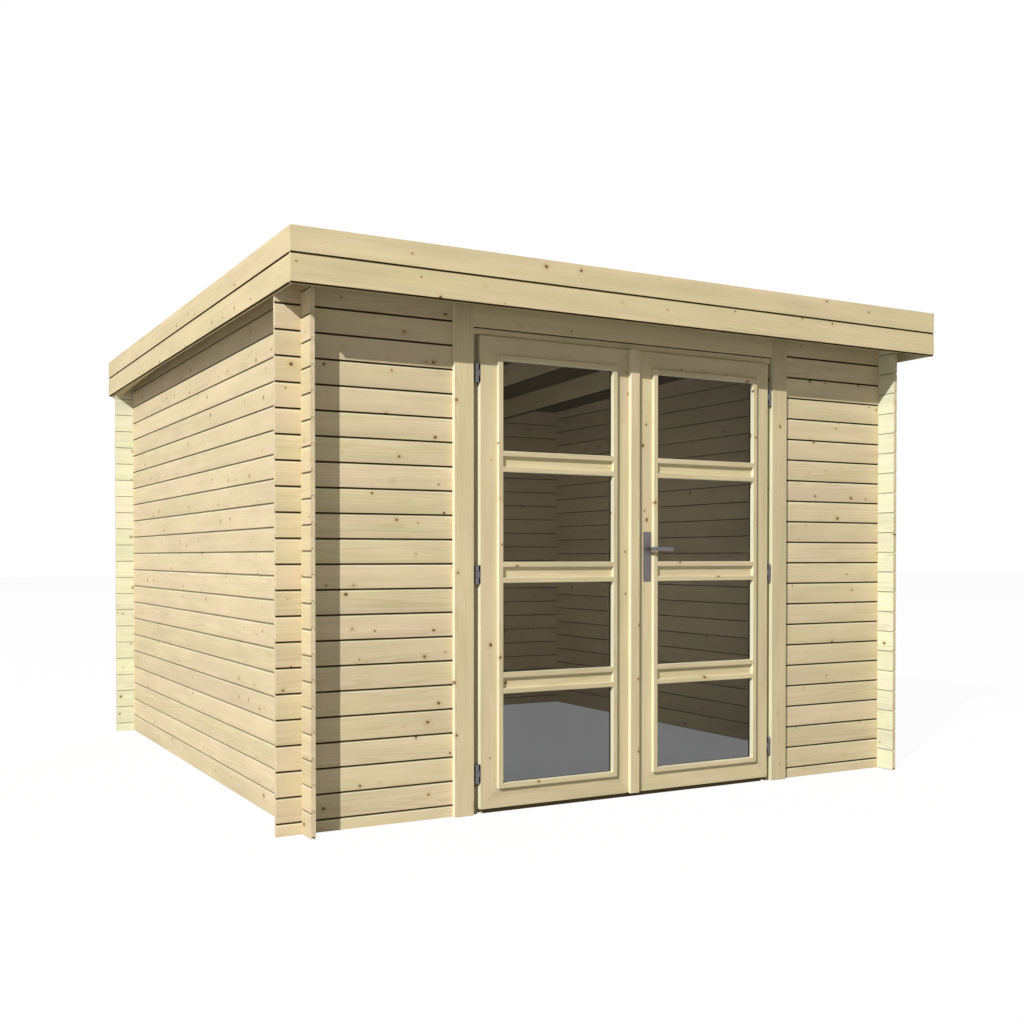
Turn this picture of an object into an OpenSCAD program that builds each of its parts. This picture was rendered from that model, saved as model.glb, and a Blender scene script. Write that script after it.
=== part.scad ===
// Garden shed of interlocking horizontal logs: flat box fascia, glazed double door.
// Front of the shed faces -Y, +Z is up, the ground is z = 0.

/* [Walls] */
// Width of the shed over its side walls
shed_w = 2930; // [2440:10:3520]
// Depth of the shed over its front and rear walls
shed_d = 3040; // [2530:10:3650]
// Height that one log adds to a wall
log_pitch = 95; // [80:1:115]
// Thickness of a log
log_t = 19; // [18:1:28]
// Least height of the front wall above the door leaves, made up to whole logs
headroom = 200; // [200:5:300]
// How far the crossing logs run on past each corner
log_end = 98; // [70:1:110]
// Depth of the shadow groove between two logs
groove_depth = 5; // [3:0.5:6]
// Height of the shadow groove between two logs
groove_h = 9; // [7:0.5:12]
// Depth of the fine V joint between two logs on the inner face
inner_joint = 1.5; // [1:0.5:3]

/* [Roof] */
// Overhang of the fascia in front of the front wall
front_overhang = 220; // [180:5:260]
// Thickness of the fascia boards
fascia_t = 14; // [12:1:18]
// Height of the lower fascia board
lower_board_h = 108; // [95:1:125]
// Height of the upper fascia board
upper_board_h = 93; // [80:1:120]
// Thickness of the roof boards
deck_t = 16; // [14:1:19]
// Thickness of the roofing felt
felt_t = 3; // [2:0.5:4]
// Width of a roof beam
beam_w = 44; // [35:1:60]
// Height of a roof beam
beam_h = 116; // [95:1:125]

/* [Door] */
// Width over both door leaves
door_w = 1470; // [1300:10:1770]
// Height of the door leaves
door_h = 1880; // [1750:10:2260]
// Thickness of the door leaves
leaf_t = 36; // [30:1:40]
// Visible width of the stiles and rails around the glass
stile_w = 75; // [65:1:90]
// Distance from the meeting line to the glass beads
meeting_stile_w = 93; // [85:1:110]
// Width of the glazing beads
bead_w = 21; // [16:1:26]
// How far the glazing beads stand out from the leaf
bead_proud = 16; // [10:1:19]
// Height of the flat of a glazing bar
bar_h = 42; // [30:1:55]
// Thickness of the glass
glass_t = 4; // [3:1:6]
// Width of the strip that covers the gap between the leaves
cover_w = 44; // [36:1:55]
// Thickness of the trim boards and of the cover strip
trim_t = 19; // [15:1:22]
// Width of the trim boards beside the door
trim_w = 85; // [70:1:95]
// Space between the leaves and the trim boards
reveal = 28; // [26:1:32]

/* [Handle] */
// Height of the lever above the ground
lever_z = 1057; // [950:1:1100]
// Height of the handle plates
plate_h = 212; // [180:1:240]
// Width of the handle plates
plate_w = 38; // [34:1:42]
// Length of the lever from its spindle
lever_len = 118; // [100:1:130]

/* [Hidden] */

$fn = 48;
// Small overlap that makes a cut run clean through
eps = 1;

// Heights of the door opening
clearance = 5;
leaf_bottom = 20;
leaf_top = leaf_bottom + door_h;

// Roof form: the front wall stands one log higher than the rear wall
log_count = ceil((leaf_top + headroom) / log_pitch - 0.5);
front_wall_h = (log_count + 0.5) * log_pitch;
rear_wall_h = front_wall_h - log_pitch;
roof_slope = (front_wall_h - rear_wall_h) / shed_d;
roof_angle = atan(roof_slope);
// Underside of the roof boards at a distance y behind the front wall's outer face
function roof_z(y) = front_wall_h - roof_slope * y;

// The fascia clears the log ends on every side
side_overhang = log_end + fascia_t;
fascia_front_y = -front_overhang;
fascia_rear_y = shed_d + side_overhang;
fascia_half_w = shed_w / 2 + side_overhang;
deck_front_y = fascia_front_y + fascia_t;
deck_rear_y = fascia_rear_y - fascia_t;
deck_half_w = fascia_half_w - fascia_t;
fascia_h = lower_board_h + upper_board_h;
// Grooves reach this far above the seam, and their floor is this high
groove_lip = 1.8;
groove_floor = 4;

// Battens under the edge of the roof boards, which the fascia is fixed to
batten_t = 30;
batten_h = 80;
// Beams, and how far they reach into the front and rear walls
beam_count = 4;
beam_seat = 9;
// Play between the felt and the top of the fascia at the front
fascia_upstand = 11;
fascia_top = roof_z(deck_front_y) + deck_t + felt_t + fascia_upstand;
fascia_seam = fascia_top - upper_board_h;
fascia_bottom = fascia_top - fascia_h;
rear_board_top = roof_z(deck_rear_y) + deck_t;
// The rear batten ends just above the lower edge of the board in front of it
rear_batten_gap = 6.5;
rear_batten_h = roof_z(deck_rear_y) - fascia_bottom - rear_batten_gap;

// The origin is under the middle of the whole outline
mid_y = (fascia_front_y + fascia_rear_y) / 2;

// Door layout, x measured from the middle of the door
leaf_face_y = -trim_t;
leaf_back_y = leaf_face_y + leaf_t;
door_half = door_w / 2;
trim_in = door_half + reveal;
trim_out = trim_in + trim_w;
trim_head_z = leaf_top + reveal;
head_board_recess = 2;
trim_top = roof_z(0) - batten_h;
// The frame posts reach from near the leaf edge to under the trim boards
post_lap = 12;
post_in = door_half + clearance;
post_out = trim_in + post_lap;
head_lap = 19.5;
head_low = leaf_top + clearance;
head_high = trim_head_z + head_lap;
stop_lap = 18;
stop_in = door_half - stop_lap;
stop_y = leaf_back_y + clearance;
post_back_y = log_t + trim_t;
threshold_h = leaf_bottom - clearance;
threshold_stop_h = leaf_bottom + stop_lap;
// Trim inside the room: its head board ends just below the roof beams
under_beams = 13;
inner_head_top = roof_z(post_back_y) - beam_h - under_beams;
board_gap = 1;

// Leaves: the cover strip ends flush with the free edge of the left leaf
leaf_gap = 6.5;
cover_lap = 17;
left_edge = cover_lap;
right_edge = left_edge + leaf_gap;
bottom_rail_extra = 3;
bead_z0 = leaf_bottom + stile_w + bottom_rail_extra;
bead_z1 = leaf_top - stile_w;
pane_count = 4;
pane_pitch = (bead_z1 - bead_z0 + bar_h) / pane_count;
pane_h = pane_pitch - bar_h;
glass_depth = 5;
glass_y = leaf_face_y + glass_depth;
glass_grip = 6;
left_beads = [-door_half + stile_w, -meeting_stile_w];
right_beads = [meeting_stile_w, door_half - stile_w];

// Butt hinges, three a leaf, with the pin in front of the gap beside the leaf
hinge_out = 15;
hinge_in = 5;
hinge_x = door_half + hinge_out;
hinge_y = leaf_face_y + hinge_in;
hinge_r = 5.5;
pin_r = 3;
pin_play = 0.3;
knuckle_h = 25;
knuckle_gap = 0.5;
hinge_h = 3 * knuckle_h;
hinge_plate_t = 2;
hinge_plate_w = 26;
low_hinge = 142;
mid_hinge_drop = 7;
high_hinge = 150;
hinge_rows = [
    leaf_bottom + low_hinge,
    leaf_bottom + door_h / 2 - mid_hinge_drop,
    leaf_top - high_hinge
];

// Handle: plates on both faces of the right leaf, levers on one spindle
plate_gap = 6;
plate_x = meeting_stile_w - plate_gap - plate_w / 2;
plate_t = 3;
plate_r = 5;
lever_on_plate = 139;
plate_z = lever_z - lever_on_plate;
spindle_r = 7;
spindle_play = 0.5;
lever_standoff = 42;
lever_h = 18;
lever_t = 9;
key_r = 3.5;
key_drop = 72;

wood = [0.85, 0.78, 0.62];
dark_wood = [0.62, 0.52, 0.38];
steel = [0.45, 0.44, 0.43];

module place() {
    translate([0, -mid_y, 0]) children();
}

// Section of a wall: y across its thickness from the outer face, z up, with a groove outside and
// a fine joint inside at each seam. first is the height of the lowest seam, top that of the wall.
module log_section(first, top) {
    seams = [for (z = first; z < top - groove_h; z = z + log_pitch) z];
    difference() {
        square([log_t, top]);
        for (z = seams) {
            outer_groove(z);
            inner_v(z);
        }
    }
}

// Groove in the outer face: a flat lip under the upper log and a chamfer on the lower one
module outer_groove(z) {
    top = z + groove_lip;
    polygon([
        [-eps, top],
        [groove_depth, top],
        [groove_depth, top - groove_floor],
        [0, top - groove_h],
        [-eps, top - groove_h]
    ]);
}

// V joint in the inner face
module inner_v(z) {
    polygon([
        [log_t + eps, z - inner_joint - eps],
        [log_t - inner_joint, z],
        [log_t + eps, z + inner_joint + eps]
    ]);
}

// A wall along X between x0 and x1, its outer face at y = 0
module x_wall(x0, x1, first, top) {
    translate([x0, 0, 0])
        rotate([90, 0, 90])
            linear_extrude(x1 - x0) log_section(first, top);
}

// Notches that let the logs of the other wall through: centre of the lowest at z = first.
// The box is as wide as a log and half a log high.
module notches(first) {
    for (i = [0 : log_count + 1])
        translate([0, 0, first + i * log_pitch - log_pitch / 4])
            cube([log_t, log_t, log_pitch / 2]);
}

// Both corner columns of notches for a wall along X
module x_wall_notches() {
    for (x = [-shed_w / 2, shed_w / 2 - log_t])
        translate([x, 0, 0]) notches(log_pitch / 2);
}

module front_log_wall(x0, x1, z0) {
    difference() {
        x_wall(x0, x1, log_pitch / 2, front_wall_h);
        above_roof();
        x_wall_notches();
        batten_room();
        beam_pockets();
        translate([x0 - eps, -eps, z0 - front_wall_h])
            cube([x1 - x0 + 2 * eps, log_t + 2 * eps, front_wall_h]);
    }
}

module front_wall_left() {
    color(wood) front_log_wall(-shed_w / 2 - log_end, -post_out, 0);
}

module front_wall_right() {
    color(wood) front_log_wall(post_out, shed_w / 2 + log_end, 0);
}

module front_wall_lintel() {
    color(wood) front_log_wall(-post_out, post_out, head_high);
}

// The rear wall is turned round, so that its grooves face outward
module rear_wall() {
    color(wood)
        difference() {
            translate([0, shed_d, 0])
                mirror([0, 1, 0])
                    difference() {
                        x_wall(-shed_w / 2 - log_end, shed_w / 2 + log_end, log_pitch / 2, rear_wall_h);
                        x_wall_notches();
                    }
            above_roof();
            batten_room();
            beam_pockets();
        }
}

// A slab parallel to the roof, larger than the shed, between two heights over the underside
// of the roof boards
module roof_slab(h0, h1) {
    translate([-shed_w, 0, front_wall_h])
        rotate([-roof_angle, 0, 0])
            translate([0, -shed_d / 2, h0]) cube([2 * shed_w, 2 * shed_d, h1 - h0]);
}

// Space above the sloping underside of the roof boards
module above_roof() {
    roof_slab(0, 2 * log_pitch);
}

// A side wall with its outer face on x = 0 and its inner face toward +X
module side_wall() {
    difference() {
        translate([0, shed_d + log_end, 0])
            rotate([90, 0, 0])
                linear_extrude(shed_d + 2 * log_end)
                    log_section(log_pitch, (log_count + 1) * log_pitch);
        for (y = [0, shed_d - log_t])
            translate([0, y, 0]) notches(0);
        above_roof();
    }
}

module left_side_wall() {
    color(wood)
        difference() {
            translate([-shed_w / 2, 0, 0]) side_wall();
            batten_room();
        }
}

module right_side_wall() {
    mirror([1, 0, 0]) left_side_wall();
}

// A sheet parallel to the roof with upright edges
module roof_sheet(x0, x1, y0, y1, h0, h1) {
    intersection() {
        roof_slab(h0, h1);
        translate([x0, y0, 0]) cube([x1 - x0, y1 - y0, 2 * front_wall_h]);
    }
}

module roof_deck() {
    color(dark_wood) roof_sheet(-deck_half_w, deck_half_w, deck_front_y, deck_rear_y, 0, deck_t);
}

module roof_felt() {
    color("dimgray")
        roof_sheet(-deck_half_w, deck_half_w, deck_front_y, deck_rear_y, deck_t, deck_t + felt_t);
}

// Beams run from the front wall to the rear wall and share the inner width evenly
module roof_beam(i) {
    inner_w = shed_w - 2 * log_t;
    x = -inner_w / 2 + inner_w * i / (beam_count + 1);
    color(wood)
        roof_sheet(x - beam_w / 2, x + beam_w / 2,
            log_t - beam_seat, shed_d - log_t + beam_seat, -beam_h, 0);
}

module front_batten() {
    color(dark_wood)
        roof_sheet(-deck_half_w, deck_half_w, deck_front_y, deck_front_y + batten_t, -batten_h, 0);
}

module rear_batten() {
    color(dark_wood)
        roof_sheet(-deck_half_w, deck_half_w, deck_rear_y - batten_t, deck_rear_y, -rear_batten_h, 0);
}

// Side battens stop against the front and rear battens
module side_batten(x0) {
    color(dark_wood)
        roof_sheet(x0, x0 + batten_t, deck_front_y + batten_t, deck_rear_y - batten_t, -batten_h, 0);
}

// The top corners of the log ends are cut away round the battens
module batten_room() {
    rear_batten();
    left_batten();
    right_batten();
}

// Pockets in the front and rear walls that carry the beam ends
module beam_pockets() {
    for (i = [1 : beam_count]) roof_beam(i);
}

module left_batten() {
    side_batten(-deck_half_w);
}

module right_batten() {
    side_batten(deck_half_w - batten_t);
}

// Front boards run over the full width, side boards sit behind them
module front_board(z0, z1) {
    color(wood)
        translate([-fascia_half_w, fascia_front_y, z0])
            cube([2 * fascia_half_w, fascia_t, z1 - z0]);
}

module side_board(x0, z0, z1) {
    color(wood)
        translate([x0, deck_front_y, z0])
            cube([fascia_t, fascia_rear_y - deck_front_y, z1 - z0]);
}

module front_fascia_lower() {
    front_board(fascia_bottom, fascia_seam);
}

module front_fascia_upper() {
    front_board(fascia_seam, fascia_top);
}

module left_fascia_lower() {
    side_board(-fascia_half_w, fascia_bottom, fascia_seam);
}

module left_fascia_upper() {
    side_board(-fascia_half_w, fascia_seam, fascia_top);
}

module right_fascia_lower() {
    side_board(deck_half_w, fascia_bottom, fascia_seam);
}

module right_fascia_upper() {
    side_board(deck_half_w, fascia_seam, fascia_top);
}

// The rear board ends level with the roof boards, so that rain runs off over it
module rear_eaves_board() {
    color(wood)
        translate([-deck_half_w, deck_rear_y, fascia_bottom])
            cube([2 * deck_half_w, fascia_t, rear_board_top - fascia_bottom]);
}

// Right-hand frame post: jamb board with a stop behind the leaf
module door_post() {
    color(wood)
        linear_extrude(head_low)
            polygon([
                [post_in, 0],
                [post_out, 0],
                [post_out, post_back_y],
                [stop_in, post_back_y],
                [stop_in, stop_y],
                [post_in, stop_y]
            ]);
}

module door_post_right() {
    difference() {
        door_post();
        for (z = hinge_rows)
            translate([post_in - eps, -eps, z - hinge_h / 2])
                cube([hinge_plate_t + eps, hinge_plate_w + eps, hinge_h]);
    }
}

module door_post_left() {
    mirror([1, 0, 0]) door_post_right();
}

// Frame head with its stop behind the tops of the leaves
module door_head() {
    color(wood) {
        translate([-post_out, 0, head_low])
            cube([2 * post_out, post_back_y, head_high - head_low]);
        translate([-stop_in, stop_y, head_low - stop_lap])
            cube([2 * stop_in, post_back_y - stop_y, stop_lap]);
    }
}

module door_threshold() {
    color(dark_wood)
        translate([-stop_in, 0, 0])
            rotate([90, 0, 90])
                linear_extrude(2 * stop_in)
                    polygon([
                        [0, 0],
                        [post_back_y, 0],
                        [post_back_y, threshold_stop_h],
                        [stop_y, threshold_stop_h],
                        [stop_y, threshold_h],
                        [0, threshold_h]
                    ]);
}

module door_trim_right() {
    color(wood)
        translate([trim_in, -trim_t, 0])
            cube([trim_w, trim_t, trim_top]);
}

module door_trim_left() {
    mirror([1, 0, 0]) door_trim_right();
}

module door_head_board() {
    color(wood)
        translate([-trim_in, head_board_recess - trim_t, trim_head_z])
            cube([2 * trim_in, trim_t - head_board_recess, trim_top - trim_head_z]);
}

// Three boards round the inside of the door frame, the head board a hair above the others
module inner_door_trim() {
    color(wood) {
        for (x = [-post_out - trim_w, post_out])
            translate([x, log_t, 0]) cube([trim_w, trim_t, head_high - board_gap]);
        translate([-post_out - trim_w, log_t, head_high])
            cube([2 * (post_out + trim_w), trim_t, inner_head_top - head_high]);
    }
}

// Hinges. Fixed halves: plates on the post, outer knuckles and the pin.
module knuckle(z) {
    translate([hinge_x, hinge_y, z]) cylinder(r = hinge_r, h = knuckle_h - knuckle_gap);
}

module hinge_fixed_half(z0) {
    translate([hinge_x, hinge_y, z0]) cylinder(r = pin_r, h = hinge_h);
    for (z = [z0, z0 + 2 * knuckle_h + knuckle_gap]) knuckle(z);
    difference() {
        translate([post_in, hinge_y - hinge_r, z0])
            cube([hinge_plate_t, hinge_plate_w - hinge_y + hinge_r, hinge_h]);
        translate([post_in - eps, hinge_y - hinge_r - eps, z0 + knuckle_h - knuckle_gap])
            cube([hinge_plate_t + 2 * eps, hinge_r + eps - hinge_y, knuckle_h + 2 * knuckle_gap]);
    }
    for (z = [z0, z0 + 2 * knuckle_h + knuckle_gap])
        translate([post_in, hinge_y - hinge_r, z])
            cube([hinge_x - post_in, hinge_plate_t, knuckle_h - knuckle_gap]);
}

module frame_hinges_right() {
    color(steel)
        for (z = hinge_rows) hinge_fixed_half(z - hinge_h / 2);
}

module frame_hinges_left() {
    mirror([1, 0, 0]) frame_hinges_right();
}

// Moving halves: plates let into the edge of the leaf and the middle knuckle
module hinge_moving_half(z0) {
    difference() {
        union() {
            knuckle(z0 + knuckle_h);
            translate([door_half - hinge_plate_t, hinge_y - hinge_r, z0 + knuckle_h])
                cube([hinge_x - door_half + hinge_plate_t, hinge_plate_t, knuckle_h - knuckle_gap]);
        }
        translate([hinge_x, hinge_y, z0]) cylinder(r = pin_r + pin_play, h = hinge_h);
    }
    translate([door_half - hinge_plate_t, leaf_face_y, z0])
        cube([hinge_plate_t, hinge_plate_w, hinge_h]);
}

module right_leaf_hinges() {
    color(steel)
        for (z = hinge_rows) hinge_moving_half(z - hinge_h / 2);
}

module left_leaf_hinges() {
    mirror([1, 0, 0]) right_leaf_hinges();
}

// Outline of pane i inside its beads, for a leaf whose beads span xs
module pane_square(xs, i, inset) {
    translate([xs[0] + inset, bead_z0 + i * pane_pitch + inset])
        square([xs[1] - xs[0] - 2 * inset, pane_h - 2 * inset]);
}

// Turns a drawing in x and z into a board from y0 with thickness t
module upright(y0, t) {
    translate([0, y0 + t, 0]) rotate([90, 0, 0]) linear_extrude(t) children();
}

// Leaf frame between x0 and x1 with its glazing bars and with hinge pockets in one edge
module leaf_frame(x0, x1, xs, hinge_edge) {
    difference() {
        upright(leaf_face_y, leaf_t)
            difference() {
                translate([x0, leaf_bottom]) square([x1 - x0, door_h]);
                for (i = [0 : pane_count - 1]) pane_square(xs, i, bead_w);
            }
        upright(glass_y, glass_t)
            for (i = [0 : pane_count - 1]) pane_square(xs, i, bead_w - glass_grip);
        for (z = hinge_rows)
            translate([hinge_edge - hinge_plate_t, leaf_face_y - eps, z - hinge_h / 2])
                cube([2 * hinge_plate_t, hinge_plate_w + eps, hinge_h]);
    }
}

module left_leaf_frame() {
    color(wood) leaf_frame(-door_half, left_edge, left_beads, -door_half);
}

module right_leaf_frame() {
    color(wood)
        difference() {
            leaf_frame(right_edge, door_half, right_beads, door_half);
            spindle_hole(spindle_r + spindle_play);
        }
}

module leaf_glass(xs) {
    color([0.35, 0.36, 0.35])
        upright(glass_y, glass_t)
            for (i = [0 : pane_count - 1]) pane_square(xs, i, bead_w - glass_grip);
}

module left_leaf_glass() {
    leaf_glass(left_beads);
}

module right_leaf_glass() {
    leaf_glass(right_beads);
}

// Glazing beads on the outer face: two long upright ones, and one above and below each pane
module leaf_beads(xs) {
    color(wood)
        upright(leaf_face_y - bead_proud, bead_proud)
            difference() {
                translate([xs[0], bead_z0]) square([xs[1] - xs[0], bead_z1 - bead_z0]);
                for (i = [0 : pane_count - 1]) pane_square(xs, i, bead_w);
                for (i = [1 : pane_count - 1])
                    translate([xs[0] + bead_w, bead_z0 + i * pane_pitch - bar_h])
                        square([xs[1] - xs[0] - 2 * bead_w, bar_h]);
            }
}

module left_leaf_beads() {
    leaf_beads(left_beads);
}

module right_leaf_beads() {
    leaf_beads(right_beads);
}

module cover_strip() {
    color(wood)
        translate([left_edge - cover_w, leaf_face_y - trim_t, leaf_bottom])
            cube([cover_w, trim_t, door_h]);
}

// A round hole through the right leaf and its plates at the spindle
module spindle_hole(r) {
    translate([plate_x, leaf_face_y - plate_t - eps, lever_z])
        rotate([-90, 0, 0]) cylinder(r = r, h = leaf_t + 2 * plate_t + 2 * eps);
}

// Rounded plate with a spindle hole and a keyhole, its back at y0
module handle_plate(y0) {
    color(steel)
        difference() {
            upright(y0, plate_t)
                translate([plate_x - plate_w / 2, plate_z]) rounded_square(plate_w, plate_h, plate_r);
            spindle_hole(spindle_r + spindle_play);
            keyhole(y0);
        }
}

module rounded_square(w, h, r) {
    for (x = [r, w - r]) for (z = [r, h - r]) translate([x, z]) circle(r = r);
    translate([r, 0]) square([w - 2 * r, h]);
    translate([0, r]) square([w, h - 2 * r]);
}

module keyhole(y0) {
    upright(y0 - eps, plate_t + 2 * eps)
        translate([plate_x, lever_z - key_drop]) {
            circle(r = key_r);
            translate([-key_r / 2, -3 * key_r]) square([key_r, 3 * key_r]);
        }
}

module outer_handle_plate() {
    handle_plate(leaf_face_y - plate_t);
}

module inner_handle_plate() {
    handle_plate(leaf_back_y);
}

// Levers on both sides, carried by one round spindle through the leaf
module door_lever() {
    outer_y = leaf_face_y - plate_t - lever_standoff;
    inner_y = leaf_back_y + plate_t + lever_standoff;
    color(steel) {
        translate([plate_x, outer_y, lever_z])
            rotate([-90, 0, 0]) cylinder(r = spindle_r, h = inner_y - outer_y);
        for (y = [outer_y, inner_y - lever_t])
            translate([plate_x - spindle_r, y, lever_z - lever_h / 2])
                cube([lever_len + spindle_r, lever_t, lever_h]);
    }
}

place() front_wall_left();
place() front_wall_right();
place() front_wall_lintel();
place() rear_wall();
place() left_side_wall();
place() right_side_wall();
place() roof_deck();
place() roof_felt();
place() roof_beam(1);  // roof_beam_1
place() roof_beam(2);  // roof_beam_2
place() roof_beam(3);  // roof_beam_3
place() roof_beam(4);  // roof_beam_4
place() front_batten();
place() rear_batten();
place() left_batten();
place() right_batten();
place() front_fascia_lower();
place() front_fascia_upper();
place() left_fascia_lower();
place() left_fascia_upper();
place() right_fascia_lower();
place() right_fascia_upper();
place() rear_eaves_board();
place() door_post_left();
place() door_post_right();
place() door_head();
place() door_threshold();
place() door_trim_left();
place() door_trim_right();
place() door_head_board();
place() inner_door_trim();
place() frame_hinges_left();
place() frame_hinges_right();
place() left_leaf_frame();
place() left_leaf_glass();
place() left_leaf_beads();
place() left_leaf_hinges();
place() cover_strip();
place() right_leaf_frame();
place() right_leaf_glass();
place() right_leaf_beads();
place() right_leaf_hinges();
place() outer_handle_plate();
place() inner_handle_plate();
place() door_lever();
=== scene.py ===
import math
import random

import bmesh
import bpy
from mathutils import Matrix, Vector
from mathutils import noise as mnoise


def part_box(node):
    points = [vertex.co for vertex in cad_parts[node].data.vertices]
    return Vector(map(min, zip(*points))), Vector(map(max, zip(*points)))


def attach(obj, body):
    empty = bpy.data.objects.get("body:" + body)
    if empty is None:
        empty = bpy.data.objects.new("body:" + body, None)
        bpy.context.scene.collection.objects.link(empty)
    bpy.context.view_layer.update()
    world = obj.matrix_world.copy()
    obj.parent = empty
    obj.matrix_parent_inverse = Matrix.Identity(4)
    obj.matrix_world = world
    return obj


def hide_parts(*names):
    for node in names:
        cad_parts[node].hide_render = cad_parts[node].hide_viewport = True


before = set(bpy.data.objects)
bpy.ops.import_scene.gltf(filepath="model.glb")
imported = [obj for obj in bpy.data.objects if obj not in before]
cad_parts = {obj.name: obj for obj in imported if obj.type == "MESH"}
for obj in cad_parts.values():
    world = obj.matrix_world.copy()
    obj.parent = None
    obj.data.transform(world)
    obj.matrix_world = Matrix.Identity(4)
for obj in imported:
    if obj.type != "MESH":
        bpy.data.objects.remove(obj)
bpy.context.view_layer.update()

MM = 0.001
BOX = {name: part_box(name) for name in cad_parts}
X, Y, Z = range(3)
EX, EY, EZ = Vector((1, 0, 0)), Vector((0, 1, 0)), Vector((0, 0, 1))


def low(node, axis):
    return BOX[node][0][axis]


def high(node, axis):
    return BOX[node][1][axis]


# ---------- places taken from the frame
FRONT_Y = low("front_wall_left", Y)
WALL_T = high("front_wall_left", Y) - FRONT_Y
REAR_Y = high("rear_wall", Y)
SIDE_X = high("right_side_wall", X)
LOG_END_X = high("front_wall_right", X)
SIDE_Y0, SIDE_Y1 = low("left_side_wall", Y), high("left_side_wall", Y)
POST_X = high("door_head", X)
LINTEL_Z = low("front_wall_lintel", Z)
FRONT_WALL_Z = high("front_wall_lintel", Z)
REAR_WALL_Z = high("rear_wall", Z)
PITCH = FRONT_WALL_Z - REAR_WALL_Z
LOGS_BELOW_LINTEL = round(LINTEL_Z / PITCH - 0.5) + 1
FRONT_LOGS = round(FRONT_WALL_Z / PITCH + 0.5)
SLOPE = math.atan(PITCH / (REAR_Y - FRONT_Y))
ROOF_POINT = Vector((0, FRONT_Y, FRONT_WALL_Z))
ROOF_NORMAL = Vector((0, math.sin(SLOPE), math.cos(SLOPE)))
ROOF_DOWN = Vector((0, math.cos(SLOPE), -math.sin(SLOPE)))
ROOF_CUT = (ROOF_POINT, ROOF_NORMAL)
GROUND_CUT = (Vector((0, 0, 0)), Vector((0, 0, -1)))

# Log section, as in the frame: shadow groove outside, fine V joint inside
LIP = 1.8 * MM
GROOVE_D = 5 * MM
GROOVE_FLOOR = 4 * MM
GROOVE_H = 9 * MM
INNER_V = 2.6 * MM
TONGUE_H = 9 * MM
TONGUE_R = 1 * MM
ARRIS = 0.8 * MM
# How dark the painted shade in the V joints is where a log runs on past the corner, beside indoors
OUTDOOR_V = 0.55
# How dark the painted shade in the side walls' shadow grooves is, beside the front wall's
SIDE_GROOVE_SHADE = 0.62

# Boards: an edge radius of BEVEL or more is a flat splay
BOARD_R = 1.2 * MM
BEVEL = 15 * MM
DECK_T = 16 * MM
DECK_BOARDS = 35
FASCIA_T = 14 * MM

# Door frame: the leaves' rebate, the threshold's step, and how dark the painted shade on the posts is in the
# gaps
REBATE_X = 23 * MM
REBATE_Y = 22 * MM
SILL_STEP_Z = 15 * MM
GAP_SHADE = 0.53

# Leaves
PANES = 4
BEAD_W = 21 * MM
BAR_H = 42 * MM
MITRE_GAP = 0.5 * MM

# Felt
FELT_T = 3 * MM
FELT_STRIPS = 4
LAP = 0.10
LAP_H = 2.4 * MM
UPSTAND = 9 * MM
FLAP = 2.2 * MM
FOLD = 46 * MM

# Hinges, handle plates and levers
HINGE_R = 5.5 * MM
PIN_R = 3 * MM
PIN_TIP = 1.5 * MM
KNUCKLE = 25 * MM
KNUCKLE_GAP = 0.5 * MM
PLATE_T = 2 * MM
PLATE_R = 2.5 * MM
LEAF_WING = 26 * MM
MID_HINGE_DROP = 7 * MM
SPINDLE_R = 7 * MM
SPINDLE_HOLE_R = 7.5 * MM
KEY_DROP = 72 * MM
KEY_R = 3.5 * MM
KEY_LEG = 10.5 * MM
GRIP_W = 18 * MM
GRIP_T = 9 * MM
GRIP_SHORT = 9 * MM
LEVER_BEND = 11 * MM


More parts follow.
